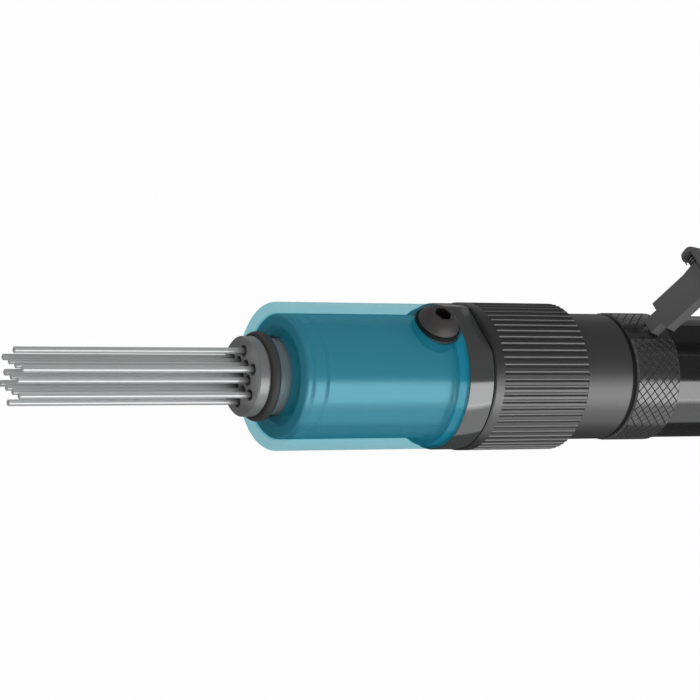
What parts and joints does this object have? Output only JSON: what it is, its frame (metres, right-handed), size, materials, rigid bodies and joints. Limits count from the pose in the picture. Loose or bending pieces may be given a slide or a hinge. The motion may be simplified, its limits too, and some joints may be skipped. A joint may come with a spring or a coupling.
{
  "type": "needle scaler",
  "caption": "In-line air needle scaler: needle bundle, see-through guard sleeve, fluted retaining collar, round handle with throttle lever and lock-off latch.",
  "frame": {"origin": "centre of the air inlet's mouth at the rear end of the tool", "axes": "+X backwards along the tool, out of the air inlet; -X towards the needle tips; +Z the lever side"},
  "size_m": [0.367, 0.0478, 0.0742],
  "materials": {
    "needle_steel": "bright drawn steel",
    "machined_steel": "turned steel",
    "tube_steel": "dark turned steel",
    "teal_sleeve": "clear teal plastic",
    "satin_steel": "satin blackened steel",
    "knurled_steel": "diamond knurled steel",
    "black_screw": "black oxide",
    "gloss_black": "gloss black",
    "lever_black": "satin black coat",
    "spring_steel": "spring wire",
    "bronze": "bearing bronze",
    "black_rubber": "moulded rubber",
    "muffler_felt": "pressed felt"
  },
  "bodies": {
    "tool": {"needle_guide": "machined_steel", "nose_ring": "black_rubber", "front_tube": "tube_steel", "guard_sleeve": "teal_sleeve", "tube_band": "satin_steel", "sleeve_screw": "black_screw", "screw_washer": "black_screw", "screw_bush": "black_screw", "needle_spring": "spring_steel", "anvil_bush": "bronze", "flange_seal": "black_rubber", "neck_hub": "satin_steel", "neck_seal": "black_rubber", "knurled_ring": "knurled_steel", "cylinder_sleeve": "machined_steel", "valve_seat": "machined_steel", "valve_cap": "machined_steel", "handle": "gloss_black", "lever_pin": "machined_steel", "plunger_bush": "bronze", "plunger_seal": "black_rubber", "ball_spring": "spring_steel", "rear_cap": "gloss_black", "inlet_bushing": "machined_steel", "inlet_screen": "spring_steel", "exhaust_ring": "muffler_felt"},
    "needle_set": {"needles": "needle_steel", "needle_holder": "machined_steel"},
    "striker": {"anvil": "machined_steel"},
    "hammer": {"piston": "machined_steel"},
    "valve_disc": {"valve_plate": "spring_steel"},
    "collar": {"fluted_collar": "satin_steel"},
    "lever": {"throttle_lever": "lever_black", "latch_pin": "machined_steel", "latch_spring": "spring_steel"},
    "latch": {"safety_latch": "lever_black"},
    "plunger": {"throttle_plunger": "machined_steel"},
    "ball": {"throttle_ball": "machined_steel"}
  },
  "joints": [
    {"name": "lever_squeeze", "type": "hinge", "parent": "tool", "child": "lever", "pos_m": [-0.033, 0, 0.026], "axis": [0, 1, 0], "range_deg": [-10, 0], "stiffness_Nm_per_rad": 0.35, "springref_deg": 6.88},
    {"name": "latch_fold", "type": "hinge", "parent": "lever", "child": "latch", "pos_m": [-0.1337, 0, 0.04557], "axis": [0, 1, 0], "range_deg": [0, 80], "deforming": ["latch_spring"]},
    {"name": "plunger_press", "type": "slide", "parent": "tool", "child": "plunger", "axis": [0, 0, -1], "range_m": [0, 0.004]},
    {"name": "ball_lift", "type": "slide", "parent": "tool", "child": "ball", "axis": [0, 0, -1], "range_m": [0, 0.004], "deforming": ["ball_spring"]},
    {"name": "needle_stroke", "type": "slide", "parent": "tool", "child": "needle_set", "axis": [-1, 0, 0], "range_m": [0, 0.005], "stiffness_N_per_m": 900, "springref_m": -0.01, "deforming": ["needle_spring"]},
    {"name": "anvil_stroke", "type": "slide", "parent": "tool", "child": "striker", "axis": [-1, 0, 0], "range_m": [0, 0.005]},
    {"name": "piston_stroke", "type": "slide", "parent": "tool", "child": "hammer", "axis": [1, 0, 0], "range_m": [0, 0.04]},
    {"name": "valve_flutter", "type": "slide", "parent": "tool", "child": "valve_disc", "axis": [1, 0, 0], "range_m": [0, 0.0008]},
    {"name": "collar_unscrew", "type": "hinge", "parent": "tool", "child": "collar", "pos_m": [-0.19, 0, 0], "axis": [1, 0, 0], "range_deg": [0, 360]}
  ],
  "couplings": [
    {"joint": "latch_fold", "follows": "lever_squeeze", "ratio": -8},
    {"joint": "plunger_press", "follows": "lever_squeeze", "m_per_rad": -0.0226},
    {"joint": "ball_lift", "follows": "lever_squeeze", "m_per_rad": -0.0226},
    {"joint": "anvil_stroke", "follows": "needle_stroke", "ratio": 1}
  ]
}
